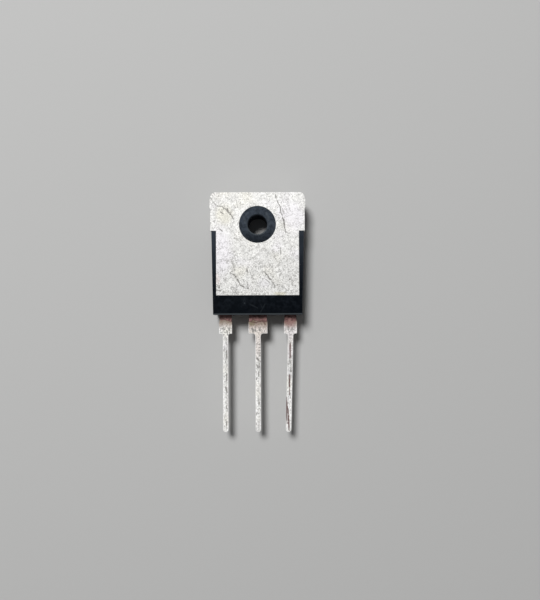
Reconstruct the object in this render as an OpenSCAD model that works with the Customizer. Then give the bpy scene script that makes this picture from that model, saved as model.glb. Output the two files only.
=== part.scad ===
// Power transistor in a flat moulded package with an exposed heat plate and three flat leads.
// It lies on its moulded front face at z = 0, with the heat plate up. The axis of the screw
// hole is the Z axis, the bare tab points to +Y and the leads point to -Y.

/* [Package] */
// Thickness from the moulded front face to the face of the heat plate
package_t = 4.8; // [4.6:0.05:5.4]
// Screw hole axis to the free edge of the tab
tab_reach = 5.3; // [4.8:0.05:6.5]
// Screw hole axis to the shoulders, where the tab's ears stop and the moulding starts
shoulder_drop = 1.05; // [0.8:0.05:1.5]
// Screw hole axis to the lead end of the moulding
body_reach = 15; // [14.6:0.05:17]

/* [Moulding] */
// Width of the moulding along its parting line, at the shoulders
body_w = 15.5; // [15.2:0.05:16.5]
// How much narrower the moulding is at its lead end
body_taper = 0.5; // [0:0.05:0.6]
// Radius of the upright corners at the lead end
body_corner_r = 0.5; // [0.2:0.05:0.9]
// Bevel round the front face
front_bevel = 0.8; // [0.3:0.05:1]
// Draft of the walls in front of the parting line, in degrees
front_draft = 4; // [1:0.5:6]
// Draft of the walls behind the parting line, in degrees
back_draft = 5; // [1:0.5:7]
// How far the moulding stays below the face of the heat plate
back_recess = 0.05; // [0.02:0.01:0.15]
// Width of the neck of moulding round the screw hole
neck_w = 9.6; // [8.6:0.1:11]
// Screw hole axis to the end of the neck
neck_reach = 3.8; // [3.6:0.05:4.4]
// Radius of the neck's upright corners
neck_corner_r = 1.3; // [0.4:0.1:2]
// Diameter of the round ejector mark on the front face, by the gate lead
mark_d = 1.6; // [1:0.1:2.4]
// Depth of the ejector mark
mark_depth = 0.08; // [0.03:0.01:0.15]

/* [Screw hole] */
// Diameter of the screw hole
hole_d = 3.2; // [3:0.05:3.8]
// Outer diameter of the moulded bush that lines the hole in the heat plate
bush_d = 6.1; // [5.6:0.05:6.6]
// Chamfer at the hole's mouth in the bush
hole_chamfer = 0.15; // [0.05:0.01:0.3]

/* [Heat plate] */
// Thickness of the heat plate
plate_t = 1.5; // [1.3:0.05:1.7]
// Width of the tab across its ears
ear_w = 15.6; // [15:0.05:16.6]
// Width of the bare plate below the ears
plate_w = 13.7; // [13:0.05:13.9]
// Radius of the tab's corners
tab_corner_r = 0.9; // [0.3:0.05:1.4]
// Height of the moulded strip between the plate and the lead end
strip_h = 3.3; // [3.1:0.05:4]
// How far the locking lip stands out of the plate's edges, inside the moulding
lip_out = 0.3; // [0.1:0.05:0.4]
// Thickness of the locking lip
lip_t = 0.5; // [0.3:0.05:0.8]
// Length of the sheared tie bar stubs on the ears
tie_len = 1.5; // [0.8:0.1:2]
// How far the tie bar stubs stand out
tie_out = 0.12; // [0.05:0.01:0.3]
// Screw hole axis up to the middle of the tie bar stubs
tie_rise = 3.45; // [2.5:0.05:3.6]
// Depth of the groove across the chip side of the plate
groove_depth = 0.3; // [0.1:0.05:0.5]

/* [Leads] */
// Distance between neighbouring leads
lead_pitch = 5.45; // [5.2:0.05:5.6]
// Thickness of the leads
lead_t = 0.6; // [0.4:0.05:0.8]
// Face of the heat plate down to the back of the leads
lead_set = 1.4; // [1.2:0.05:1.6]
// Width of the outer leads where they leave the moulding
outer_lead_w = 2; // [1.6:0.05:2.2]
// Width of the middle lead where it leaves the moulding
middle_lead_w = 3; // [2.4:0.05:3.2]
// Length of the wide part of the leads outside the moulding
wide_len = 3.1; // [2.6:0.05:4]
// Width of the thin part of the leads
thin_w = 0.9; // [0.7:0.05:1.2]
// Length of the thin part of the leads, to the tips
thin_len = 16.5; // [10:0.1:18]
// Radius of the fillets between the wide and the thin part
shoulder_r = 0.4; // [0.1:0.05:0.5]
// How far the sheared dam bar stubs stand out of the wide part
dam_out = 0.08; // [0.03:0.01:0.2]
// Length of the dam bar stubs, back from the wide part's end
dam_len = 2; // [1:0.1:2.4]
// Lean of the gate lead's thin part towards the middle, in degrees
gate_lean = 1.4; // [0:0.05:3]
// Straight length of the thin part before it leans
lean_start = 0.6; // [0.5:0.1:6]

/* [Chips and wires] */
// Side of the square transistor chip
igbt_w = 6; // [4.5:0.1:6.4]
// Side of the square diode chip
diode_w = 4; // [3:0.1:4.4]
// Gap between the two chips
chip_gap = 1.45; // [0.8:0.05:1.8]
// Thickness of both chips
chip_t = 0.2; // [0.1:0.01:0.35]
// Thickness of the solder under the chips
solder_t = 0.06; // [0.03:0.01:0.12]
// How far the solder stands out round a chip
solder_out = 0.15; // [0.05:0.01:0.25]
// Diameter of the emitter and diode bond wires
power_wire_d = 0.38; // [0.25:0.01:0.5]
// Diameter of the gate bond wire
gate_wire_d = 0.2; // [0.12:0.01:0.25]
// Height of the wire loops above their feet
loop_rise = 1.3; // [1.1:0.05:1.5]

/* [Hidden] */
$fn = 64;
over = 0.5;              // how far a cutting shape runs past what it cuts
drafted_round = 0.92;    // how nearly the rounds of drafted corners run into their flanks

// Levels above the front face
plate_z = package_t - plate_t;              // chip side of the plate
lead_z = package_t - lead_set - lead_t;     // front of the leads
parting_z = lead_z + lead_t;                // the mould parts at the back of the leads
back_z = package_t - back_recess;           // back of the moulding
chip_z = plate_z - solder_t - chip_t;       // bonded face of the chips

// Places along the package, measured from the screw hole towards the leads
plate_reach = body_reach - strip_h;
pad_gap = 0.45;                             // locking lip to the bond pads
pad_top = plate_reach + lip_out + pad_gap;
pad_cover = 1.1;                            // bond pads to the lead end of the moulding
pad_bottom = body_reach - pad_cover;
wide_end = body_reach + wide_len;
groove_drop = bush_d / 2 + 0.6;

// Places across the package
pad_side_cover = 0.55;                      // bond pads to the side of the moulding
pad_outer = (body_w - body_taper) / 2 - pad_side_cover;
emitter_pad_inner = middle_lead_w / 2 + 0.8;
gate_pad_inner = lead_pitch - outer_lead_w / 2 - 0.35;
lock_hole_d = 0.6;

// The middle lead drops from the plate's chip side to the plane of the outer leads
bend_start = plate_reach + lip_out + 0.4;
bend_end = bend_start + 0.8;

// Chip places: side by side, as a pair centred under the plate
chips_w = igbt_w + chip_gap + diode_w;
igbt_low_margin = 0.7;                      // bare plate from a chip to the plate's lead end
diode_low_margin = 1.5;
igbt_at = [(chips_w - igbt_w) / 2, -(plate_reach - igbt_low_margin - igbt_w / 2)];
diode_at = [-(chips_w - diode_w) / 2, -(plate_reach - diode_low_margin - diode_w / 2)];

// Bond places on the chips, measured from a chip's middle, or for the gate from its corner
gate_bond = [-0.6, 0.7];
emitter_bond = [-1.3, -1.1];
emitter_bond_step = [-0.7, 1.2];            // from the first emitter wire to the second
diode_bond = [-0.7, 0.3];

// Bond places on the pads
pad_bond_y = -(pad_top + 0.35);
emitter_end_x = -(emitter_pad_inner + 0.6);
emitter_end_step = -1.35;
diode_end_x = -(lead_pitch + 0.15);
gate_loop_drop = 0.4;                       // how much lower the gate wire's loop is
foot_rise = 0.42;                           // a wire's axis above its foot, in wire diameters

// Ejector mark, in the front face's corner by the gate lead
mark_at = [lead_pitch - 0.65, -(body_reach - 2.9)];

// ---- Shared shapes ----

// Everything outside a drafted flank of the moulding. The flank's parting line is the local
// Y axis and +X is outward. A bevel takes off the front edge.
module flank_relief(length, part_z, top_z, bevel = 0) {
    foot = part_z * tan(front_draft);
    crown = (top_z - part_z) * tan(back_draft);
    bevel_z = bevel / (1 - tan(front_draft));
    translate([0, length / 2, 0])
        rotate([90, 0, 0])
            linear_extrude(length)
                polygon([
                    [-foot - bevel - over, -over],
                    [-foot - bevel, 0],
                    [-foot + bevel_z * tan(front_draft), bevel_z],
                    [0, part_z],
                    [-crown, top_z],
                    [-crown, top_z + over],
                    [3, top_z + over],
                    [3, -over]
                ]);
}

// What rounding an upright corner takes away. The corner is the local origin, and the
// material lies towards -X and -Y. With full below 1, the round meets its flanks at a slight
// angle, which keeps it clear of grazing a drafted flank.
module corner_relief(r, height, full = 1) {
    translate([-r * full, -r * full, -over])
        linear_extrude(height + 2 * over)
            difference() {
                square(r + over);
                circle(r);
            }
}

// Flat outline of a lead on the local Y axis, from its root to its rounded tip
module lead_outline(w, root, lean = 0) {
    leaning = thin_len - lean_start - thin_w / 2;
    translate([-w / 2, -wide_end])
        square([w, wide_end - root]);
    translate([-w / 2 - dam_out, -wide_end])
        square([w + 2 * dam_out, dam_len]);
    translate([0, -wide_end]) {
        difference() {
            translate([-thin_w / 2 - shoulder_r, -shoulder_r])
                square([thin_w + 2 * shoulder_r, shoulder_r]);
            for (side = [-1, 1])
                translate([side * (thin_w / 2 + shoulder_r), -shoulder_r])
                    circle(shoulder_r);
        }
        translate([-thin_w / 2, -lean_start])
            square([thin_w, lean_start]);
        translate([0, -lean_start])
            rotate(-lean) {
                translate([-thin_w / 2, -leaning])
                    square([thin_w, leaning + thin_w / 8]);
                translate([0, -leaning])
                    circle(d = thin_w);
            }
    }
}

// Outer lead with its bond pad, for the +X side
module outer_lead(pad_inner, lean = 0) {
    translate([0, 0, lead_z])
        linear_extrude(lead_t)
            difference() {
                union() {
                    translate([lead_pitch, 0])
                        lead_outline(outer_lead_w, pad_bottom - over / 2, lean);
                    translate([pad_inner, -pad_bottom])
                        square([pad_outer - pad_inner, pad_bottom - pad_top]);
                }
                translate([lead_pitch, -(body_reach - 1)])
                    circle(d = lock_hole_d);
            }
}

// Flattened end of a bond wire, on a face that looks down, along the local X axis
module wire_foot(d) {
    rotate([0, 90, 0])
        linear_extrude(2.4 * d)
            intersection() {
                translate([0.2 * d, 0])
                    circle(0.7 * d);
                translate([0, -d])
                    square([d, 2 * d]);
            }
}

// Bond wire from one foot to another, looped towards the front of the package
module bond_wire(from, to, d, rise) {
    span = [to.x - from.x, to.y - from.y];
    run = norm(span);
    fall = from.z - to.z;
    chord = norm([run, fall]);
    radius = (chord * chord / 4 + rise * rise) / (2 * rise);
    half = asin(chord / (2 * radius));
    translate(from)
        rotate([0, 0, atan2(span.y, span.x)]) {
            translate([-2 * d, 0, 0])
                wire_foot(d);
            translate([run - 0.4 * d, 0, -fall])
                wire_foot(d);
            translate([0, 0, -foot_rise * d])
                rotate([0, atan2(fall, run), 0])
                    translate([chord / 2, 0, radius - rise])
                        rotate([90, 0, 0])
                            rotate([0, 0, -90 - half])
                                rotate_extrude(angle = 2 * half)
                                    translate([radius, 0])
                                        circle(d = d);
        }
}

// Square slab under the plate, for a chip or its solder
module slab(at, w, top, thick) {
    translate([at.x - w / 2, at.y - w / 2, top - thick])
        cube([w, w, thick]);
}

// ---- Metal pieces ----

module plate_outline() {
    difference() {
        union() {
            translate([-ear_w / 2, -shoulder_drop])
                square([ear_w, tab_reach + shoulder_drop]);
            translate([-plate_w / 2, -plate_reach])
                square([plate_w, plate_reach]);
            translate([-ear_w / 2 - tie_out, tie_rise - tie_len / 2])
                square([ear_w + 2 * tie_out, tie_len]);
        }
        circle(d = bush_d);
    }
}

// Heat plate and middle lead, stamped from one strip
module collector_frame() {
    color("gainsboro") {
        difference() {
            union() {
                translate([0, 0, plate_z])
                    linear_extrude(plate_t)
                        plate_outline();
                translate([-plate_w / 2 - lip_out, -plate_reach - lip_out, plate_z])
                    cube([plate_w + 2 * lip_out, plate_reach + lip_out - shoulder_drop - 1, lip_t]);
            }
            for (side = [0, 1])
                mirror([side, 0, 0])
                    translate([ear_w / 2, tab_reach, plate_z])
                        corner_relief(tab_corner_r, plate_t);
            translate([-plate_w, -groove_drop, plate_z])
                rotate([90, 0, 90])
                    linear_extrude(2 * plate_w)
                        polygon([[-groove_depth, 0], [-groove_depth, -over], [groove_depth, -over],
                                 [groove_depth, 0], [0, groove_depth]]);
        }
        intersection() {
            linear_extrude(package_t)
                lead_outline(middle_lead_w, plate_reach - over);
            rotate([90, 0, -90])
                linear_extrude(2 * middle_lead_w, center = true)
                    middle_lead_side();
        }
    }
}

// Side view of the middle lead, with y measured towards the leads
module middle_lead_side() {
    tip = wide_end + thin_len + over;
    polygon([
        [plate_reach - over, plate_z], [bend_start, plate_z], [bend_end, lead_z], [tip, lead_z],
        [tip, lead_z + lead_t], [bend_end, lead_z + lead_t],
        [bend_start, plate_z + lead_t], [plate_reach - over, plate_z + lead_t]
    ]);
}

module gate_lead() {
    color("silver")
        outer_lead(gate_pad_inner, gate_lean);
}

module emitter_lead() {
    color("silver")
        mirror([1, 0, 0])
            outer_lead(emitter_pad_inner);
}

// ---- Chips, solder and bond wires ----

module igbt_chip() {
    color("slategray")
        slab(igbt_at, igbt_w, plate_z - solder_t, chip_t);
}

module igbt_solder() {
    color("lightgray")
        slab(igbt_at, igbt_w + 2 * solder_out, plate_z, solder_t);
}

module diode_chip() {
    color("slategray")
        slab(diode_at, diode_w, plate_z - solder_t, chip_t);
}

module diode_solder() {
    color("lightgray")
        slab(diode_at, diode_w + 2 * solder_out, plate_z, solder_t);
}

module gate_wire() {
    start = igbt_at + [igbt_w / 2, -igbt_w / 2] + gate_bond;
    color("silver")
        bond_wire([start.x, start.y, chip_z], [lead_pitch, pad_bond_y, lead_z],
                  gate_wire_d, loop_rise - gate_loop_drop);
}

module emitter_wire(step) {
    start = igbt_at + emitter_bond + step * emitter_bond_step;
    end_x = emitter_end_x + step * emitter_end_step;
    color("silver")
        bond_wire([start.x, start.y, chip_z], [end_x, pad_bond_y, lead_z], power_wire_d, loop_rise);
}

module emitter_wire_1() {
    emitter_wire(0);
}

module emitter_wire_2() {
    emitter_wire(1);
}

module diode_wire() {
    start = diode_at + diode_bond;
    color("silver")
        bond_wire([start.x, start.y, chip_z], [diode_end_x, pad_bond_y, lead_z], power_wire_d, loop_rise);
}

// ---- Moulding ----

// Full-width block, from the shoulders to the lead end
module block_form() {
    length = body_reach - shoulder_drop;
    side_lean = atan(body_taper / 2 / length);
    difference() {
        translate([-body_w / 2, -body_reach, 0])
            cube([body_w, length, back_z]);
        for (side = [0, 1])
            mirror([side, 0, 0]) {
                translate([body_w / 2, -shoulder_drop, 0])
                    rotate([0, 0, -side_lean])
                        flank_relief(3 * length, parting_z, back_z, front_bevel);
                translate([(body_w - body_taper) / 2, -body_reach, 0])
                    rotate([0, 0, -90])
                        corner_relief(body_corner_r, back_z, drafted_round);
            }
        translate([0, -body_reach, 0])
            rotate([0, 0, -90])
                flank_relief(2 * body_w, parting_z, back_z, front_bevel);
        translate([0, -shoulder_drop, 0])
            rotate([0, 0, 90])
                flank_relief(2 * body_w, plate_z, plate_z, front_bevel / 4);
    }
}

// Neck over the chip side of the tab, round the screw hole
module neck_form() {
    length = neck_reach + shoulder_drop + 2;
    difference() {
        translate([-neck_w / 2, neck_reach - length, 0])
            cube([neck_w, length, plate_z]);
        for (side = [0, 1])
            mirror([side, 0, 0]) {
                translate([neck_w / 2, 0, 0])
                    flank_relief(3 * length, plate_z, plate_z, front_bevel / 4);
                translate([neck_w / 2, neck_reach, 0])
                    corner_relief(neck_corner_r, plate_z, drafted_round);
            }
        translate([0, neck_reach, 0])
            rotate([0, 0, 90])
                flank_relief(2 * neck_w, plate_z, plate_z, front_bevel / 4);
    }
}

module mould_body() {
    color("#15171a")
        difference() {
            union() {
                block_form();
                neck_form();
                cylinder(d = bush_d + over, h = back_z);
            }
            translate([0, 0, -over])
                cylinder(d = hole_d, h = package_t + 2 * over);
            translate([0, 0, back_z - hole_chamfer])
                cylinder(d1 = hole_d, d2 = hole_d + 2 * (hole_chamfer + over), h = hole_chamfer + over);
            translate([mark_at.x, mark_at.y, -over])
                cylinder(d = mark_d, h = over + mark_depth);
            collector_frame();
            gate_lead();
            emitter_lead();
            igbt_chip();
            igbt_solder();
            diode_chip();
            diode_solder();
            gate_wire();
            emitter_wire_1();
            emitter_wire_2();
            diode_wire();
        }
}

mould_body();
collector_frame();
gate_lead();
emitter_lead();
igbt_chip();
igbt_solder();
diode_chip();
diode_solder();
gate_wire();
emitter_wire_1();
emitter_wire_2();
diode_wire();
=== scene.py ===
import math

import bpy
from mathutils import Matrix, Vector


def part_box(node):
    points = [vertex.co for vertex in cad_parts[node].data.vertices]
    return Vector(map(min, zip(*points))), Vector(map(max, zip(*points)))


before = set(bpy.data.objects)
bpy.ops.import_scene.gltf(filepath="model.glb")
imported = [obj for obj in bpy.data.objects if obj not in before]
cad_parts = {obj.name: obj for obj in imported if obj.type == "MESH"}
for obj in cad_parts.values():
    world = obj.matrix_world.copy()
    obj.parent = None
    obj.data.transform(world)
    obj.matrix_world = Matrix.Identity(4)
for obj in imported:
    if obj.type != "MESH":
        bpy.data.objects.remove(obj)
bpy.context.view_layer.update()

MM = 0.001

# ---- Building materials: lengths and places are in mm of the part's own frame ----

BEVEL_SAMPLES = 8
RIM_LEAN = (0.85, 0.99)           # cosine from the flat to the rounded normal: on a rim, off it
NUMBER_RESULTS = ("DOT_PRODUCT", "LENGTH", "DISTANCE")   # vector operations that give a number
MIDDLE = (0.5, 0.5, 0.5)          # the mean of a noise's colour
UP, DOWN = (0, 0, 1), (0, 0, -1)  # the part's back faces up


def rgba(color):
    """A colour as a socket takes it. Another node's output stays as it is."""
    return (*color, 1) if isinstance(color, tuple) else color


class Look:
    """A material in the making. Values given to its calls are numbers or other nodes' outputs."""

    def __init__(self, name, color, roughness, metallic=0.0):
        self.material = bpy.data.materials.new(name)
        self.material.use_nodes = True
        self.tree = self.material.node_tree
        self.shader = self.tree.nodes["Principled BSDF"]
        self.shader.inputs["Base Color"].default_value = rgba(color)
        self.shader.inputs["Roughness"].default_value = roughness
        self.shader.inputs["Metallic"].default_value = metallic
        self.normal = None
        space = self.node("TexCoord").outputs["Object"]
        self.place = self.vector("SCALE", space, scale=1 / MM)

    def feed(self, socket, value):
        """Gives a socket its value, or links it to another node's output."""
        if isinstance(value, bpy.types.NodeSocket):
            self.tree.links.new(value, socket)
        else:
            socket.default_value = value

    def node(self, kind, **inputs):
        """A new node, with the named inputs fed."""
        node = self.tree.nodes.new("ShaderNode" + kind)
        for name, value in inputs.items():
            self.feed(node.inputs[name], value)
        return node

    # Arithmetic.

    def vector(self, operation, a, b=None, scale=None):
        """A vector operation, which gives a vector or a number."""
        node = self.node("VectorMath")
        node.operation = operation
        for key, value in ((0, a), (1, b), ("Scale", scale)):
            if value is not None:
                self.feed(node.inputs[key], value)
        return node.outputs["Value" if operation in NUMBER_RESULTS else "Vector"]

    def math(self, operation, *values):
        """An operation on one, two or three numbers."""
        node = self.node("Math")
        node.operation = operation
        for socket, value in zip(node.inputs, values):
            self.feed(socket, value)
        return node.outputs[0]

    def times(self, a, b):
        """The product of two values."""
        return self.math("MULTIPLY", a, b)

    def most(self, first, *others):
        """The greatest of its values."""
        for value in others:
            first = self.math("MAXIMUM", first, value)
        return first

    def off(self, value, target):
        """How far a value is from its target, on either side."""
        return self.math("ABSOLUTE", self.math("SUBTRACT", value, target))

    def step(self, value, low, high, start=0.0, end=1.0):
        """Goes smoothly from start, where the value is low, to end, where it is high."""
        node = self.node("MapRange")
        node.interpolation_type = "SMOOTHSTEP"
        for socket, item in zip(node.inputs, (value, low, high, start, end)):
            self.feed(socket, item)
        return node.outputs[0]

    # Where on the part, and which way its surface faces.

    def axis(self, name, place=None):
        """One coordinate of a place."""
        return self.node("SeparateXYZ", Vector=place or self.place).outputs[name]

    def flat(self, place=None):
        """A place with its height left out."""
        return self.vector("MULTIPLY", place or self.place, (1, 1, 0))

    def turned(self, degrees):
        """The place, turned about the part's Z axis."""
        node = self.node("VectorRotate", Vector=self.place, Angle=math.radians(degrees))
        node.rotation_type = "Z_AXIS"
        return node.outputs[0]

    def wobble(self, amount, per_mm, at=None):
        """A place shaken by smooth noise, so that straight lines waver."""
        at = at or self.place
        noise = self.node("TexNoise", Vector=at, Scale=per_mm).outputs["Color"]
        shake = self.vector("SUBTRACT", noise, MIDDLE)
        return self.vector("ADD", at, self.vector("SCALE", shake, scale=2 * amount))

    def facing(self, direction):
        """How far the surface faces a direction: 1 along it, 0 across it."""
        normal = self.node("TexCoord").outputs["Normal"]
        return self.vector("DOT_PRODUCT", normal, direction)

    def rounded(self, radius):
        """The normal as if the edges were rounded by a small radius."""
        node = self.node("Bevel", Radius=radius * MM)
        node.samples = BEVEL_SAMPLES
        return node.outputs[0]

    def rims(self, radius):
        """1 on the edges, 0 further in than the radius."""
        flat = self.node("NewGeometry").outputs["True Normal"]
        lean = self.vector("DOT_PRODUCT", self.rounded(radius), flat)
        return self.step(lean, *RIM_LEAN, 1.0, 0.0)

    # Patterns.

    def noise(self, per_mm, detail=2.0, rough=0.5, stretch=(1, 1, 1), shift=(0, 0, 0)):
        """Smooth noise round 0.5, stretched by the given factors."""
        place = self.vector("DIVIDE", self.vector("ADD", self.place, shift), stretch)
        node = self.node("TexNoise", Vector=place, Scale=per_mm, Detail=detail, Roughness=rough)
        return node.outputs["Fac"]

    def cells(self, per_mm, at):
        """Distance to the nearest of scattered points, and a random number for each."""
        node = self.node("TexVoronoi", Vector=at, Scale=per_mm)
        return node.outputs["Distance"], self.axis("X", node.outputs["Color"])

    def from_line(self, flat, start, end):
        """How far a flat place is from the straight line between two points."""
        span = Vector((*end, 0)) - Vector((*start, 0))
        out = self.vector("SUBTRACT", flat, (*start, 0))
        along = self.vector("DOT_PRODUCT", out, tuple(span / span.length_squared))
        along = self.math("MINIMUM", self.math("MAXIMUM", along, 0.0), 1.0)
        return self.vector("DISTANCE", out, self.vector("SCALE", tuple(span), scale=along))

    def scratch(self, path, width, at):
        """1 on a thin line through the path's points, 0 beside it."""
        flat, nearest = self.flat(at), None
        for start, end in zip(path, path[1:]):
            distance = self.from_line(flat, start, end)
            nearest = self.math("MINIMUM", nearest, distance) if nearest else distance
        return self.step(nearest, width * 0.3, width, 1.0, 0.0)

    def dashes(self, degrees, per_mm, length, chance, width):
        """Scattered short scratches that all run in about one direction."""
        place = self.wobble(amount=0.12, per_mm=0.9, at=self.turned(degrees))
        place = self.vector("DIVIDE", place, (length, 1, length))
        distance, pick = self.cells(per_mm, place)
        line = self.step(distance, width * 0.4, width, 1.0, 0.0)
        return self.times(line, self.math("LESS_THAN", pick, chance))

    def specks(self, per_mm, chance, size):
        """Small round spots, here and there."""
        distance, pick = self.cells(per_mm, self.wobble(amount=0.14, per_mm=3.0))
        spot = self.step(distance, size * 0.45, size, 1.0, 0.0)
        return self.times(spot, self.math("LESS_THAN", pick, chance))

    # Colour and finish.

    def mix(self, share, a, b):
        """Colour a with a share of colour b."""
        node = self.node("Mix", Factor=share)
        node.data_type = "RGBA"
        for socket, color in zip(node.inputs[6:8], (a, b)):
            self.feed(socket, rgba(color))
        return node.outputs[2]

    def shade(self, color, factor):
        """A colour made darker or lighter by a factor."""
        node = self.node("Mix", Factor=1)
        node.data_type = "RGBA"
        node.blend_type = "MULTIPLY"
        self.feed(node.inputs[6], rgba(color))
        self.feed(node.inputs[7], factor)
        return node.outputs[2]

    def bump(self, height, depth):
        """Adds relief: a height from 0 to 1 stands for a depth in mm."""
        node = self.node("Bump", Height=height, Distance=depth * MM)
        if self.normal is not None:
            self.feed(node.inputs["Normal"], self.normal)
        self.normal = node.outputs[0]

    def finish(self, color, roughness=None):
        """The finished material, with its colour, roughness and normal in place."""
        self.feed(self.shader.inputs["Base Color"], color)
        if roughness is not None:
            self.feed(self.shader.inputs["Roughness"], roughness)
        if self.normal is not None:
            self.feed(self.shader.inputs["Normal"], self.normal)
        return self.material


# ---- View: the photo is 540 by 600 pixels and looks straight down on the part ----

IMAGE_W, IMAGE_H = 540, 600
FOCAL_PX = 541.0                  # focal length
PLATE_PX_PER_MM = 6.06            # scale at the heat plate's face
HOLE_PX = (257.45, 224.35)        # centre of the screw hole
TURN_DEG = 0.2                    # how far the part is turned in the view
SENSOR_MM = 36.0                  # along the picture's longer side


def make_camera():
    """Stands the camera over the plate, at the height where the plate has its measured scale."""
    plate_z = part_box("collector_frame")[1].z
    height = FOCAL_PX / PLATE_PX_PER_MM * MM
    aside = Vector((IMAGE_W / 2 - HOLE_PX[0], HOLE_PX[1] - IMAGE_H / 2, 0)) / PLATE_PX_PER_MM * MM
    turn = Matrix.Rotation(math.radians(-TURN_DEG), 3, "Z")
    data = bpy.data.cameras.new("camera")
    data.sensor_width = SENSOR_MM
    data.lens = FOCAL_PX / IMAGE_H * SENSOR_MM
    data.clip_start = MM
    camera = bpy.data.objects.new("camera", data)
    camera.location = turn @ aside + Vector((0, 0, plate_z + height))
    camera.rotation_euler.z = math.radians(-TURN_DEG)
    bpy.context.scene.collection.objects.link(camera)
    bpy.context.scene.camera = camera


# ---- Light: one soft lamp, high beyond the tab and to its left, and an even studio round it ----

WORLD_LEVEL = 0.12
KEY_TOWARDS = Vector((-0.8, 1.5, 3.0))   # direction from the part to the lamp
KEY_DISTANCE = 0.6
KEY_SIZE = 0.2
KEY_WATTS = 3.65


def make_light():
    """Hangs the lamp, turned to the part, and lights the surroundings evenly."""
    data = bpy.data.lights.new("key", "AREA")
    data.shape = "DISK"
    data.size = KEY_SIZE
    data.energy = KEY_WATTS
    key = bpy.data.objects.new("key", data)
    key.location = KEY_TOWARDS.normalized() * KEY_DISTANCE
    key.rotation_mode = "QUATERNION"
    key.rotation_quaternion = KEY_TOWARDS.to_track_quat("Z", "Y")
    bpy.context.scene.collection.objects.link(key)
    world = bpy.data.worlds.new("studio")
    world.use_nodes = True
    background = world.node_tree.nodes["Background"]
    background.inputs["Color"].default_value = (1, 1, 1, 1)
    background.inputs["Strength"].default_value = WORLD_LEVEL
    bpy.context.scene.world = world


# ---- Floor: a wide pale dish, flat under the part and rising smoothly to a rim ----

FLOOR_COLOR = (0.50, 0.50, 0.495)
FLOOR_FAR_COLOR = (0.48, 0.48, 0.475, 1.0)
FLOOR_FAR_STARTS = 0.07           # the even far tone starts so far out, in m
FLOOR_FAR = 0.30                  # and is complete here
FLOOR_FLAT = 0.30                 # the dish is flat so far out
FLOOR_REACH = 1.6                 # and has its rim here
FLOOR_RIM = 0.9                   # height of the rim
FLOOR_RINGS = 24
FLOOR_SIDES = 96
FLOOR_DROP = 0.00001              # clear of the moulding's front face


def floor_look():
    """Plain matt floor. Far off it shows an even pale tone, without lighting the part."""
    look = Look("floor", FLOOR_COLOR, roughness=0.9)
    look.shader.inputs["Specular IOR Level"].default_value = 0.1
    look.shader.inputs["Emission Color"].default_value = FLOOR_FAR_COLOR
    path = look.node("LightPath").outputs
    seen = look.most(path["Is Camera Ray"], path["Is Glossy Ray"], path["Is Transmission Ray"])
    out = look.vector("LENGTH", look.place)
    far = look.times(seen, look.step(out, FLOOR_FAR_STARTS / MM, FLOOR_FAR / MM))
    look.feed(look.shader.inputs["Emission Strength"], far)
    return look.finish(look.mix(far, FLOOR_COLOR, (0.0, 0.0, 0.0)))


def floor_mesh():
    """The dish: a flat middle, and rings that rise with the square of the way to the rim."""
    points, faces = [(0, 0, -FLOOR_DROP)], []
    for ring in range(FLOOR_RINGS + 1):
        share = ring / FLOOR_RINGS
        reach = FLOOR_FLAT + (FLOOR_REACH - FLOOR_FLAT) * share
        rise = FLOOR_RIM * share ** 2 - FLOOR_DROP
        for side in range(FLOOR_SIDES):
            angle = 2 * math.pi * side / FLOOR_SIDES
            points.append((reach * math.cos(angle), reach * math.sin(angle), rise))
    for side in range(FLOOR_SIDES):
        after = (side + 1) % FLOOR_SIDES
        faces.append((0, 1 + side, 1 + after))
        for ring in range(FLOOR_RINGS):
            a, b = 1 + ring * FLOOR_SIDES, 1 + (ring + 1) * FLOOR_SIDES
            faces.append((a + side, b + side, b + after, a + after))
    mesh = bpy.data.meshes.new("floor")
    mesh.from_pydata(points, [], faces)
    mesh.shade_smooth()
    return mesh


def make_floor():
    """Lays the floor under the part, as staging."""
    mesh = floor_mesh()
    mesh.materials.append(floor_look())
    floor = bpy.data.objects.new("floor", mesh)
    bpy.context.scene.collection.objects.link(floor)


# ---- Tin ----

TIN = (0.90, 0.895, 0.875)
# The painted highlight on the leads' rounded edges.
TIN_PAINTED_HIGHLIGHT = (0.97, 0.965, 0.95)
TIN_DARK = (0.25, 0.24, 0.225)
TIN_WARM = (0.89, 0.87, 0.80)
TIN_LILAC = (0.885, 0.865, 0.895)
TIN_PINK = (0.78, 0.68, 0.66)
TIN_METALLIC = 0.36               # matt plating scatters part of the light
TIN_ROUGHNESS = (0.78, 0.70)      # in the dark and in the light of its grain
GRAIN_DEPTH = 0.006               # relief of the grain
MARK_DEPTH = 0.02                 # of the handling marks
DASH_DEPTH = 0.012                # and of the dashes on the leads
MARK = (0.20, 0.19, 0.175)
COPPER = (0.30, 0.158, 0.15)
COPPER_DARK = (0.115, 0.056, 0.052)
COPPER_WORN = (0.14, 0.075, 0.07)
STAIN = (0.24, 0.18, 0.13)
OLIVE = (0.20, 0.165, 0.095)
YELLOWED = (0.66, 0.62, 0.44)

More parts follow.
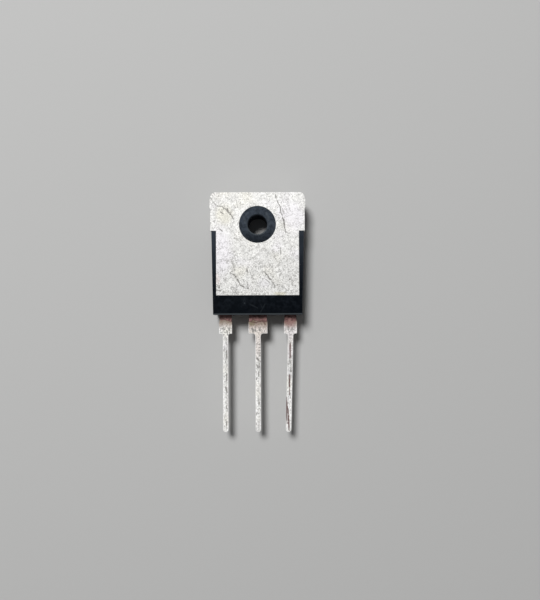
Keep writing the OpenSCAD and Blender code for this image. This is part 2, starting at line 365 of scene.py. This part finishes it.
# Marks that stand out on the plate's back, in mm from the screw hole's axis: path, width, depth.
LONG_SCRATCHES = (
    (((2.98, 4.82), (3.24, 3.90), (3.77, 2.98), (3.97, 1.79)), 0.14, 0.9),
    (((3.97, 1.79), (4.30, 0.73), (4.69, -1.36)), 0.16, 1.0),
    (((4.15, 2.60), (4.35, 1.70)), 0.11, 0.6),
    (((-6.56, 3.11), (-5.83, 2.98), (-5.04, 2.38), (-4.51, 1.66)), 0.14, 0.85),
    (((-4.95, 2.60), (-4.70, 2.10), (-4.30, 1.40), (-3.99, 0.90)), 0.15, 0.95),
    (((-7.75, 4.37), (-6.82, 3.11)), 0.13, 0.65),
    (((-3.46, 4.03), (-3.21, 2.71)), 0.11, 0.55),
    (((-6.05, 2.05), (-5.75, 1.80)), 0.14, 0.8),
    (((-6.20, -0.75), (-5.80, -1.10)), 0.15, 0.85),
    (((-3.75, -2.30), (-3.20, -2.40)), 0.13, 0.6),
    (((-4.31, -5.97), (-3.97, -6.69), (-3.74, -7.67)), 0.12, 0.7),
    (((-4.46, -7.93), (-3.85, -8.25), (-3.45, -8.75)), 0.15, 0.95),
    (((-3.34, -9.00), (-2.90, -9.99), (-2.27, -10.35)), 0.16, 1.1),
    (((-1.28, -7.90), (-0.95, -8.60), (-0.57, -9.18)), 0.12, 0.7),
    (((-1.75, -7.30), (-1.65, -8.00)), 0.14, 0.85),
    (((1.35, -8.00), (1.75, -8.75), (2.20, -9.20)), 0.15, 0.9),
    (((3.82, -3.82), (3.82, -4.99)), 0.13, 0.75),
    (((2.38, -9.46), (2.75, -9.73), (2.83, -10.44)), 0.14, 0.85),
    (((-6.90, -10.85), (-6.10, -10.95)), 0.14, 0.8),
)
DARK_SPOTS = ((-1.64, -10.62), (1.52, -8.30), (-1.68, -7.65), (-6.35, -10.35), (5.30, -9.00))
SPOT_FADES = (0.08, 0.2)          # a dark spot is full up to the first radius, gone at the second
MARKS_SHARE = 0.9
MARKS_THIN_OUT = (-8.0, 0.0)      # the scattered marks grow fainter from the first to the second
PLATE_PAINTED_LIGHT_SPAN = (-13.0, 5.0)    # the plate is painted lighter, as if more brightly lit, from the first to the second

# Scattered marks: direction in degrees and chance of the short ones, scale and shift of the
# noise that the meandering hairlines follow.
MARK_DIRECTIONS = ((62, 0.5), (38, 0.4), (-50, 0.35), (86, 0.4))
HAIRLINE_FIELDS = ((0.9, (0, 5, 0)), (1.5, (9, 1, 0)))

# Soft round stains: place, reach, stretch, colour, share.
PLATE_BLOTS = (
    (3.7, -11.45, 0.45, (3, 1, 1), YELLOWED, 0.5),
    (-5.5, 1.6, 1.9, (1, 1.2, 1), YELLOWED, 0.3),
    (-6.2, -4.5, 2.6, (1, 2.2, 1), TIN_LILAC, 0.8),
    (6.0, 1.2, 2.4, (1, 1.4, 1), TIN_LILAC, 0.7),
    (-6.8, -9.0, 0.8, (1, 1.6, 1), TIN_PINK, 0.5),
)
ROOT_BLOTS = (
    (-0.95, -16.2, 0.8, (1, 1, 1), OLIVE, 0.75),
    (5.37, -16.0, 1.4, (1, 1, 1), COPPER, 0.7),
)


def blotted(look, color, place, blots):
    """A colour with soft stains laid over it."""
    for x, y, reach, stretch, tint, share in blots:
        off = look.vector("DIVIDE", look.vector("SUBTRACT", place, (x, y, 0)), stretch)
        stain = look.step(look.vector("LENGTH", look.flat(off)), reach * 0.35, reach, 1.0, 0.0)
        color = look.mix(look.times(stain, share), color, tint)
    return color


def scattered_marks(look):
    """Short scratches in a few directions, and hairlines that meander."""
    marks = 0.0
    for degrees, chance in MARK_DIRECTIONS:
        line = look.dashes(degrees, per_mm=1.8, length=6.0, chance=chance, width=0.14)
        marks = look.most(marks, look.times(line, 0.8))
    for per_mm, shift in HAIRLINE_FIELDS:
        field = look.noise(per_mm, detail=2, rough=0.6, shift=shift)
        marks = look.most(marks, look.step(look.off(field, 0.5), 0.006, 0.032, 0.55, 0.0))
    return marks


def tin_marks(look):
    """Handling marks on the plate: named scratches, scattered ones and dark spots."""
    wavy = look.wobble(amount=0.22, per_mm=1.1)
    wavy = look.wobble(amount=0.13, per_mm=3.2, at=wavy)
    named = 0.0
    for path, width, depth in LONG_SCRATCHES:
        named = look.most(named, look.times(look.scratch(path, width, wavy), depth))
    broken = look.noise(per_mm=2.6, detail=3, rough=0.7, shift=(3, 1, 0))
    named = look.times(named, look.step(broken, 0.34, 0.5, 0.35, 1.0))
    fainter = look.step(look.axis("Y"), *MARKS_THIN_OUT, 1.0, 0.7)
    broken = look.times(look.step(broken, 0.40, 0.52), fainter)
    marks = look.most(named, look.times(scattered_marks(look), broken))
    flat = look.flat(wavy)
    for x, y in DARK_SPOTS:
        near = look.vector("DISTANCE", flat, (x, y, 0))
        marks = look.most(marks, look.step(near, *SPOT_FADES, 1.0, 0.0))
    return look.math("MINIMUM", marks, 1.0)


def tin_body(look):
    """The dull plating itself: faint tints, a fine mottle and pits, fewer of them on the sheared
    edges than on the faces. Gives colour, grain and pits."""
    on_face = look.step(look.math("ABSOLUTE", look.facing(UP)), 0.3, 0.9, 0.35, 1.0)
    warm = look.step(look.noise(per_mm=0.22, detail=1, shift=(5, 2, 0)), 0.52, 0.75, 0.0, 0.7)
    lilac = look.step(look.noise(per_mm=0.3, detail=1, shift=(-4, 9, 0)), 0.5, 0.75, 0.0, 0.6)
    color = look.mix(lilac, look.mix(warm, TIN, TIN_WARM), TIN_LILAC)
    grain = look.noise(per_mm=5.5, detail=3, rough=0.75)
    color = look.mix(on_face, color, look.shade(color, look.step(grain, 0.36, 0.60, 0.77, 1.06)))
    cloud = look.noise(per_mm=0.7, detail=2, shift=(8, 8, 0))
    color = look.shade(color, look.step(cloud, 0.35, 0.65, 0.94, 1.02))
    pits = look.most(look.times(look.specks(per_mm=2.8, chance=0.5, size=0.34), 0.6),
                     look.times(look.specks(per_mm=1.5, chance=0.2, size=0.17), 0.9))
    pits = look.times(pits, on_face)
    return look.mix(look.times(pits, 0.75), color, TIN_DARK), grain, pits


# ---- Leads ----

LEAD_STARTS = (-12.4, -12.0)      # the heat plate gives way to the middle lead between these
LEAD_PAINTED_LIGHT_SPAN = (-30.0, -20.0)   # the leads are painted lighter, as if more brightly lit, from the second to the first
LEAD_WIDE_END = -18.2             # their wide parts end here
LEAD_WORN_TINT = (0.78, 0.70, 0.68)
LEAD_FLUSHED_END = -22.0          # and down to here they may have a faint flush of copper
LEAD_FLUSH_TINT = (0.95, 0.895, 0.87)
LEAD_STAIN = 1.4                  # below its bare copper the tin is stained for so long
LEAD_STAIN_SHARE = 0.85           # shares of the stain and of the bare copper
LEAD_BARE_SHARE = 0.95
LEAD_HIGHLIGHT_RIM = 0.24                   # width of the painted highlight along the leads' edges
LEAD_HIGHLIGHT_SHARE = 0.9
LINE_SHARE = 0.22                 # how dark the dull middle line is
TICK_SHARE = 0.9                  # and the ticks on it

# Each lead's back: the bare copper's end, the share of the flush, and in mm from the screw
# hole's axis the path and width of its dull middle line, its dark ticks, and the streaks
# where copper shows through.
EMITTER = dict(
    bare_end=-15.85,
    flush=0.0,
    line=(((-5.30, -18.9), (-5.22, -22.0), (-5.32, -26.5), (-5.24, -30.0), (-5.30, -34.0)), 0.26),
    ticks=(
        (((-5.29, -21.0), (-5.28, -22.2)), 0.16),
        (((-5.27, -24.9), (-5.27, -25.9)), 0.18),
        (((-5.44, -27.1), (-5.24, -27.9)), 0.20),
        (((-5.33, -30.2), (-5.30, -30.7)), 0.15),
        (((-5.35, -32.9), (-5.33, -33.6)), 0.15),
        (((-5.75, -17.1), (-5.65, -17.4)), 0.16),
        (((-4.85, -17.2), (-4.80, -17.6)), 0.18),
        (((-5.25, -17.6), (-5.15, -17.9)), 0.16),
    ),
)
COLLECTOR = dict(
    bare_end=-16.05,
    flush=1.0,
    line=(((0.12, -21.2), (0.2, -24.0), (0.08, -26.5), (0.14, -30.0), (0.10, -33.9)), 0.24),
    ticks=(
        (((0.12, -19.95), (0.5, -19.97)), 0.13),
        (((0.15, -20.4), (0.5, -20.42)), 0.12),
        (((0.12, -20.9), (0.5, -20.93)), 0.13),
        (((0.31, -21.36), (0.53, -21.41)), 0.18),
        (((0.28, -21.78), (0.55, -21.74)), 0.18),
        (((-0.19, -22.25), (0.33, -22.8)), 0.22),
        (((0.18, -23.2), (0.19, -23.7)), 0.20),
        (((-0.25, -23.3), (0.0, -23.9)), 0.15),
        (((0.08, -24.5), (0.09, -25.3)), 0.16),
        (((0.13, -29.4), (0.13, -29.9)), 0.20),
        (((-1.0, -17.3), (-0.7, -17.6)), 0.26),
        (((-0.45, -17.5), (-0.35, -17.7)), 0.2),
        (((0.2, -17.4), (0.3, -17.6)), 0.18),
    ),
)
GATE = dict(
    bare_end=-15.9,
    flush=0.5,
    line=(((5.42, -18.9), (5.38, -22.4), (5.45, -23.6), (5.30, -25.2), (5.26, -28.4)), 0.26),
    ticks=(
        (((4.85, -22.9), (5.0, -23.3)), 0.17),
        (((5.45, -24.0), (5.52, -24.5)), 0.18),
        (((5.30, -22.6), (5.42, -23.0)), 0.16),
        (((5.05, -17.0), (5.08, -17.5)), 0.18),
        (((5.75, -17.1), (5.70, -17.5)), 0.16),
    ),
    streaks=(
        (((5.38, -19.8), (5.36, -22.2)), 0.17),
        (((5.27, -25.1), (5.25, -27.0)), 0.20),
        (((5.27, -27.0), (5.22, -28.4)), 0.10),
        (((4.70, -28.8), (4.78, -30.1), (4.96, -30.9), (5.07, -32.6), (5.16, -34.3)), 0.20),
        (((4.70, -29.2), (4.74, -31.5), (4.82, -33.2)), 0.13),
    ),
)

# The brown arch on the middle lead's root.
ROOT_ARCH = (
    (((-1.45, -16.0), (-0.30, -16.3), (0.15, -16.05), (0.95, -16.1), (1.2, -16.6)), 0.19),
)
ARCH_SHARE = 0.75


def along_paths(look, paths):
    """1 along a few named marks on a lead, 0 elsewhere, with worn borders."""
    wavy, total = look.wobble(amount=0.06, per_mm=1.8), 0.0
    for path, width in paths:
        total = look.most(total, look.scratch(path, width, wavy))
    return look.times(total, look.step(look.noise(per_mm=2.6, detail=2), 0.3, 0.5, 0.55, 1.0))


def lead_tone(look, color, bare_end, flush):
    """The plating's tone along a lead: painted lighter towards the tip, as if more brightly lit
    there, worn on the wide part, flushed with copper below it, and grained lengthwise."""
    y = look.axis("Y")
    # Painted light: the lead is lighter towards its tip.
    color = look.shade(color, look.step(y, *LEAD_PAINTED_LIGHT_SPAN, 1.16, 0.98))
    worn = look.step(y, LEAD_WIDE_END + 0.4, bare_end - 0.2)
    color = look.mix(worn, color, look.vector("MULTIPLY", color, LEAD_WORN_TINT))
    flushed = look.step(y, LEAD_FLUSHED_END - 1.5, LEAD_FLUSHED_END + 1.5, 0.0, flush)
    color = look.mix(flushed, color, look.vector("MULTIPLY", color, LEAD_FLUSH_TINT))
    grains = look.noise(per_mm=4.4, detail=2, rough=0.7, stretch=(1, 2.0, 1), shift=(1, 4, 2))
    return look.shade(color, look.step(grains, 0.36, 0.6, 0.74, 1.08))


def lead_dashes(look, line, ticks):
    """Dark dashes along a lead, denser on its wide part, with its middle line and its ticks."""
    dashes = look.most(look.dashes(86, per_mm=3.1, length=3.0, chance=0.55, width=0.32),
                       look.dashes(96, per_mm=2.6, length=3.4, chance=0.5, width=0.27))
    scuffed = look.step(look.noise(per_mm=0.8, detail=2, shift=(3, 0, 3)), 0.35, 0.6, 0.45, 1.0)
    flecks = look.dashes(88, per_mm=3.6, length=1.8, chance=0.5, width=0.34)
    on_wide = look.step(look.axis("Y"), LEAD_WIDE_END - 0.4, LEAD_WIDE_END)
    dashes = look.most(look.times(dashes, scuffed), look.times(flecks, on_wide))
    dashes = look.most(dashes, look.times(along_paths(look, (line,)), LINE_SHARE))
    return look.most(dashes, look.times(along_paths(look, ticks), TICK_SHARE))


def lead_root(look, color, bare_end):
    """Bare copper at a lead's root, with a ragged dark border, and stained tin below it."""
    rag = look.math("SUBTRACT", look.noise(per_mm=0.9, detail=3, rough=0.6, shift=(7, 0, 1)), 0.5)
    ragged = look.math("MULTIPLY_ADD", rag, 1.6, look.axis("Y"))
    stained = look.step(ragged, bare_end - LEAD_STAIN, bare_end, 0.0, LEAD_STAIN_SHARE)
    color = look.mix(stained, color, STAIN)
    color = blotted(look, color, look.wobble(amount=0.25, per_mm=1.2), ROOT_BLOTS)
    color = look.mix(look.times(along_paths(look, ROOT_ARCH), ARCH_SHARE), color, COPPER_DARK)
    patchy = look.mix(look.step(look.noise(per_mm=1.7, detail=3), 0.4, 0.65), COPPER, COPPER_DARK)
    bare = look.step(ragged, bare_end - 0.1, bare_end + 0.1, 0.0, LEAD_BARE_SHARE)
    color = look.mix(bare, color, patchy)
    broken = look.step(look.noise(per_mm=1.1, detail=2, shift=(4, 4, 0)), 0.4, 0.6, 0.15, 0.8)
    border = look.times(look.step(look.off(ragged, bare_end), 0.04, 0.15, 1.0, 0.0), broken)
    return look.mix(border, color, COPPER_DARK)


def lead_tin(look, color, bare_end, flush, line, ticks, streaks=()):
    """Dresses a lead, given the plating's colour. Gives the lead's colour and its dashes."""
    color = lead_tone(look, color, bare_end, flush)
    dashes = lead_dashes(look, line, ticks)
    color = look.mix(dashes, color, TIN_DARK)
    # A painted highlight along the lead's edges.
    color = look.mix(look.times(look.rims(LEAD_HIGHLIGHT_RIM), LEAD_HIGHLIGHT_SHARE), color, TIN_PAINTED_HIGHLIGHT)
    color = lead_root(look, color, bare_end)
    if streaks:
        color = look.mix(along_paths(look, streaks), color, COPPER_WORN)
    return color, dashes


def tinned_plate_look():
    """The heat plate, marked by handling, with the middle lead that is one piece with it."""
    look = Look("tinned_plate", TIN, roughness=0.5, metallic=TIN_METALLIC)
    look.normal = look.rounded(radius=0.1)
    color, grain, pits = tin_body(look)
    y = look.axis("Y")
    on_plate = look.step(y, *LEAD_STARTS)
    plate = blotted(look, color, look.wobble(amount=0.4, per_mm=0.8), PLATE_BLOTS)
    # Painted light: the plate is lighter towards the tab.
    plate = look.shade(plate, look.step(y, *PLATE_PAINTED_LIGHT_SPAN, 0.95, 1.06))
    on_back = look.step(look.facing(UP), 0.6, 0.95)
    marks = look.times(tin_marks(look), look.times(on_back, on_plate))
    plate = look.mix(look.times(marks, MARKS_SHARE), plate, MARK)
    lead, _ = lead_tin(look, color, **COLLECTOR)
    look.bump(look.noise(per_mm=9.0, detail=3, rough=0.6), GRAIN_DEPTH)
    look.bump(look.most(marks, pits), -MARK_DEPTH)
    roughness = look.step(grain, 0.3, 0.7, *TIN_ROUGHNESS)
    roughness = look.math("MULTIPLY_ADD", marks, 0.1, roughness)
    return look.finish(look.mix(on_plate, lead, plate), roughness)


def tinned_lead_look(name, lead):
    """One of the two outer leads."""
    look = Look(name, TIN, roughness=0.5, metallic=TIN_METALLIC)
    look.normal = look.rounded(radius=0.05)
    color, grain, pits = tin_body(look)
    color, dashes = lead_tin(look, color, **lead)
    look.bump(look.noise(per_mm=8.0, detail=3, rough=0.6, stretch=(1, 2, 1)), GRAIN_DEPTH)
    look.bump(look.most(pits, dashes), -DASH_DEPTH)
    return look.finish(color, look.step(grain, 0.3, 0.7, *TIN_ROUGHNESS))


# ---- Moulding compound ----

EPOXY = (0.0012, 0.0019, 0.0032)
EPOXY_PALE = (0.042, 0.052, 0.068)
# Paler epoxy for rubs and the parting line, and for painted highlights on edges and on the hole's
# rim.
EPOXY_RUB_AND_HIGHLIGHT = (0.085, 0.098, 0.108)
EPOXY_GLOSS = 0.05
EPOXY_GLOSS_TINT = (0.72, 0.86, 1.0, 1.0)
EPOXY_ROUGHNESS = (0.34, 0.46)
PARTING_Z = 3.4                   # height of the parting line
SEAM_FADES = (0.02, 0.08)         # full so near to it, gone so far from it
SEAM_DEPTH = 0.02                 # relief of the parting line
SEAM_SHARE = 0.6                  # and how far it is rubbed pale
RUB_SHARE = 0.3                   # the same for scattered rubs, and for the edges, which are worn and painted with a highlight
BUSH_R = 3.05                     # radius of the ring round the screw hole
HOLE_R = 1.66                     # middle of the hole's rim, where a highlight is painted
HOLE_HIGHLIGHT_SPAN = (-1.2, 0.8)       # the painted highlight on the rim fades from the first to the second
LEAD_END_Y = -14.85               # the back face's edge by the leads, painted pale as a highlight

# Between these limits, towards the tab, the ring grows paler, the sides' painted reflection
# grows, and so does the dust on the back.
RING_PALE_SPAN = (-3.4, 0.0)
SIDE_SHEEN_SPAN = (-12.5, 0.5)
BACK_DUST_SPAN = (-14.6, -12.4)

# Faint rub marks on the moulding's back below the heat plate and on the ring round the hole.
BACK_RUBS = (
    (((-1.18, -13.24), (-0.6, -13.5), (-0.07, -13.79)), 0.16, 0.09),
    (((1.16, -13.17), (0.85, -13.8), (0.47, -14.5)), 0.14, 0.09),
    (((0.45, -13.17), (0.75, -13.8)), 0.12, 0.06),
    (((-2.4, -12.7), (-2.2, -12.3), (-1.95, -12.7)), 0.12, 0.05),
    (((-2.2, -12.98), (-2.15, -13.02)), 0.16, 0.25),
    (((-2.25, 1.28), (-2.1, 0.75), (-2.05, 0.3)), 0.30, 0.30),
    (((-1.6, 1.95), (-1.95, 1.55)), 0.26, 0.30),
    (((1.5, 1.85), (1.75, 1.2), (1.85, 0.75)), 0.28, 0.30),
    (((2.0, 0.25), (1.95, 0.0)), 0.20, 0.24),
    (((-0.4, 2.6), (0.5, 2.55)), 0.20, 0.14),
)


def epoxy_dust_and_sheen(look, from_axis):
    """How pale the moulding is: the ring round the screw hole most of all, the sides with a
    painted reflection, and dust on the back, all growing towards the tab.
    """
    y = look.axis("Y")
    smudges = look.noise(per_mm=1.5, detail=6, rough=0.9, shift=(1, 6, 0))
    ring = look.times(look.step(smudges, 0.38, 0.62, 0.35, 1.2),
                      look.step(y, *RING_PALE_SPAN, 0.2, 0.97))
    cloud = look.noise(per_mm=0.6, detail=4, rough=0.65)
    # The sides' pale gradient is a painted reflection.
    sides = look.times(look.step(cloud, 0.25, 0.6, 0.7, 1.0),
                       look.step(y, *SIDE_SHEEN_SPAN, 0.0, 0.65))
    blotches = look.noise(per_mm=1.4, detail=4, rough=0.75, shift=(6, 3, 0))
    back = look.times(look.step(blotches, 0.42, 0.64, 0.0, 0.13),
                      look.step(y, *BACK_DUST_SPAN, 0.35, 1.0))
    beside = look.most(sides, back)
    on_ring = look.step(from_axis, BUSH_R, BUSH_R + 0.15, 1.0, 0.0)
    return look.math("MULTIPLY_ADD", on_ring, look.math("SUBTRACT", ring, beside), beside)


def epoxy_rubs_and_highlights(look, from_axis, seam):
    """How pale the moulding is painted: rub marks, parting line, edges worn and given a painted
    highlight, and painted highlights on the hole's rim and the back's lower edge.
    """
    rubs = look.most(look.dashes(25, per_mm=0.8, length=5.0, chance=0.15, width=0.08),
                     look.dashes(-60, per_mm=0.8, length=4.0, chance=0.15, width=0.08))
    # The edges are worn and also carry a painted highlight.
    edges = look.times(look.rims(radius=0.12), RUB_SHARE)
    pale = look.most(look.times(rubs, RUB_SHARE), look.times(seam, SEAM_SHARE), edges)
    y = look.axis("Y")
    # A painted highlight on the hole's lower rim, and another along the back's edge by the leads.
    hole_rim_highlight = look.times(look.step(look.off(from_axis, HOLE_R), 0.05, 0.2, 0.9, 0.0),
                          look.step(y, *HOLE_HIGHLIGHT_SPAN, 1.0, 0.3))
    on_back = look.most(hole_rim_highlight, look.step(y, LEAD_END_Y, LEAD_END_Y + 0.25, 0.75, 0.0))
    for path, width, depth in BACK_RUBS:
        on_back = look.most(on_back, look.times(look.scratch(path, width, look.place), depth))
    return look.most(pale, look.times(on_back, look.step(look.facing(UP), 0.5, 0.9)))


def epoxy_look():
    """Black moulding compound, paler towards the tab with dust and a painted reflection on its
    sides, rubbed, with painted highlights on some edges, and with its parting line.
    """
    look = Look("epoxy", EPOXY, roughness=0.4)
    look.shader.inputs["Specular IOR Level"].default_value = EPOXY_GLOSS
    look.shader.inputs["Specular Tint"].default_value = EPOXY_GLOSS_TINT
    look.normal = look.rounded(radius=0.07)
    from_axis = look.vector("LENGTH", look.flat())
    seam = look.step(look.off(look.axis("Z"), PARTING_Z), *SEAM_FADES, 1.0, 0.0)
    # The paler ring, the painted reflection on the sides, and the dust.
    color = look.mix(epoxy_dust_and_sheen(look, from_axis), EPOXY, EPOXY_PALE)
    # Rubs, and painted highlights on edges and rims.
    color = look.mix(epoxy_rubs_and_highlights(look, from_axis, seam), color, EPOXY_RUB_AND_HIGHLIGHT)
    look.bump(look.noise(per_mm=9.0, detail=3, rough=0.7), depth=0.010)
    look.bump(look.noise(per_mm=2.6, detail=2), depth=0.012)
    look.bump(seam, SEAM_DEPTH)
    patches = look.noise(per_mm=1.1, detail=3, shift=(2, 2, 2))
    return look.finish(color, look.step(patches, 0.3, 0.7, *EPOXY_ROUGHNESS))


# ---- Inside: silicon, solder and aluminium wire ----

METAL_PAD = (0.78, 0.78, 0.79)
PASSIVATION = (0.10, 0.085, 0.11)
SILICON = (0.17, 0.18, 0.20)
PAD_INSET = (0.28, 0.32)          # the pad's border, in from the chip's edge
ROW_GAP = (0.02, 0.05)            # the border of a row of cells, from the middle of its gap
CELL_WAVE = 60.0                  # the fine cells' pattern, in radians to the mm
IGBT_ROWS = 6
DIODE_ROWS = 1
SOLDER = (0.44, 0.44, 0.46)
SOLDER_DARK = (0.30, 0.30, 0.32)
WIRE = (0.83, 0.83, 0.84)
WIRE_DARK = (0.62, 0.62, 0.64)


def chip_look(name, rows):
    """A chip: a metal pad in rows of cells on its bonded face, a dark border, sawn sides."""
    low, high = (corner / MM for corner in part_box(name))
    middle, half = (low + high) / 2, (high - low) / 2
    look = Look(name, SILICON, roughness=0.25, metallic=0.8)
    inset_x = look.math("SUBTRACT", half.x, look.off(look.axis("X"), middle.x))
    inset_y = look.math("SUBTRACT", half.y, look.off(look.axis("Y"), middle.y))
    pad = look.step(look.math("MINIMUM", inset_x, inset_y), *PAD_INSET)
    row = look.math("PINGPONG", look.axis("Y"), half.y / rows)
    pad = look.times(pad, look.step(row, *ROW_GAP))
    face = look.step(look.facing(DOWN), 0.7, 0.9)
    cells = look.math("SINE", look.times(look.axis("X"), CELL_WAVE))
    metal = look.shade(METAL_PAD, look.math("MULTIPLY_ADD", cells, 0.04, 0.96))
    color = look.mix(face, SILICON, look.mix(pad, PASSIVATION, metal))
    look.bump(look.times(pad, face), depth=0.004)
    look.bump(look.noise(per_mm=12.0, detail=2, stretch=(1, 1, 0.2)), depth=0.003)
    return look.finish(color, look.step(pad, 0.0, 1.0, 0.22, 0.38))


def solder_look():
    """Dull grey solder with a coarse grain."""
    look = Look("solder", SOLDER, roughness=0.5, metallic=1.0)
    grain = look.noise(per_mm=2.4, detail=4, rough=0.65)
    look.bump(grain, depth=0.01)
    return look.finish(look.mix(grain, SOLDER_DARK, SOLDER), look.step(grain, 0.3, 0.7, 0.6, 0.4))


def wire_look():
    """Drawn aluminium wire with faint lines along it."""
    look = Look("aluminium_wire", WIRE, roughness=0.3, metallic=1.0)
    lines = look.noise(per_mm=7.0, detail=3, rough=0.6, stretch=(0.35, 3, 0.5))
    look.bump(lines, depth=0.004)
    return look.finish(look.mix(lines, WIRE_DARK, WIRE), look.step(lines, 0.3, 0.7, 0.4, 0.25))


# ---- The scene ----

make_camera()
make_light()
make_floor()

wire = wire_look()
solder = solder_look()
looks = {
    "mould_body": epoxy_look(),
    "collector_frame": tinned_plate_look(),
    "emitter_lead": tinned_lead_look("tinned_emitter_lead", EMITTER),
    "gate_lead": tinned_lead_look("tinned_gate_lead", GATE),
    "igbt_chip": chip_look("igbt_chip", IGBT_ROWS),
    "diode_chip": chip_look("diode_chip", DIODE_ROWS),
    "igbt_solder": solder,
    "diode_solder": solder,
    "gate_wire": wire,
    "emitter_wire_1": wire,
    "emitter_wire_2": wire,
    "diode_wire": wire,
}
for name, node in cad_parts.items():
    for slot in node.material_slots:
        slot.material = looks[name]

bpy.context.scene.view_settings.view_transform = "Standard"
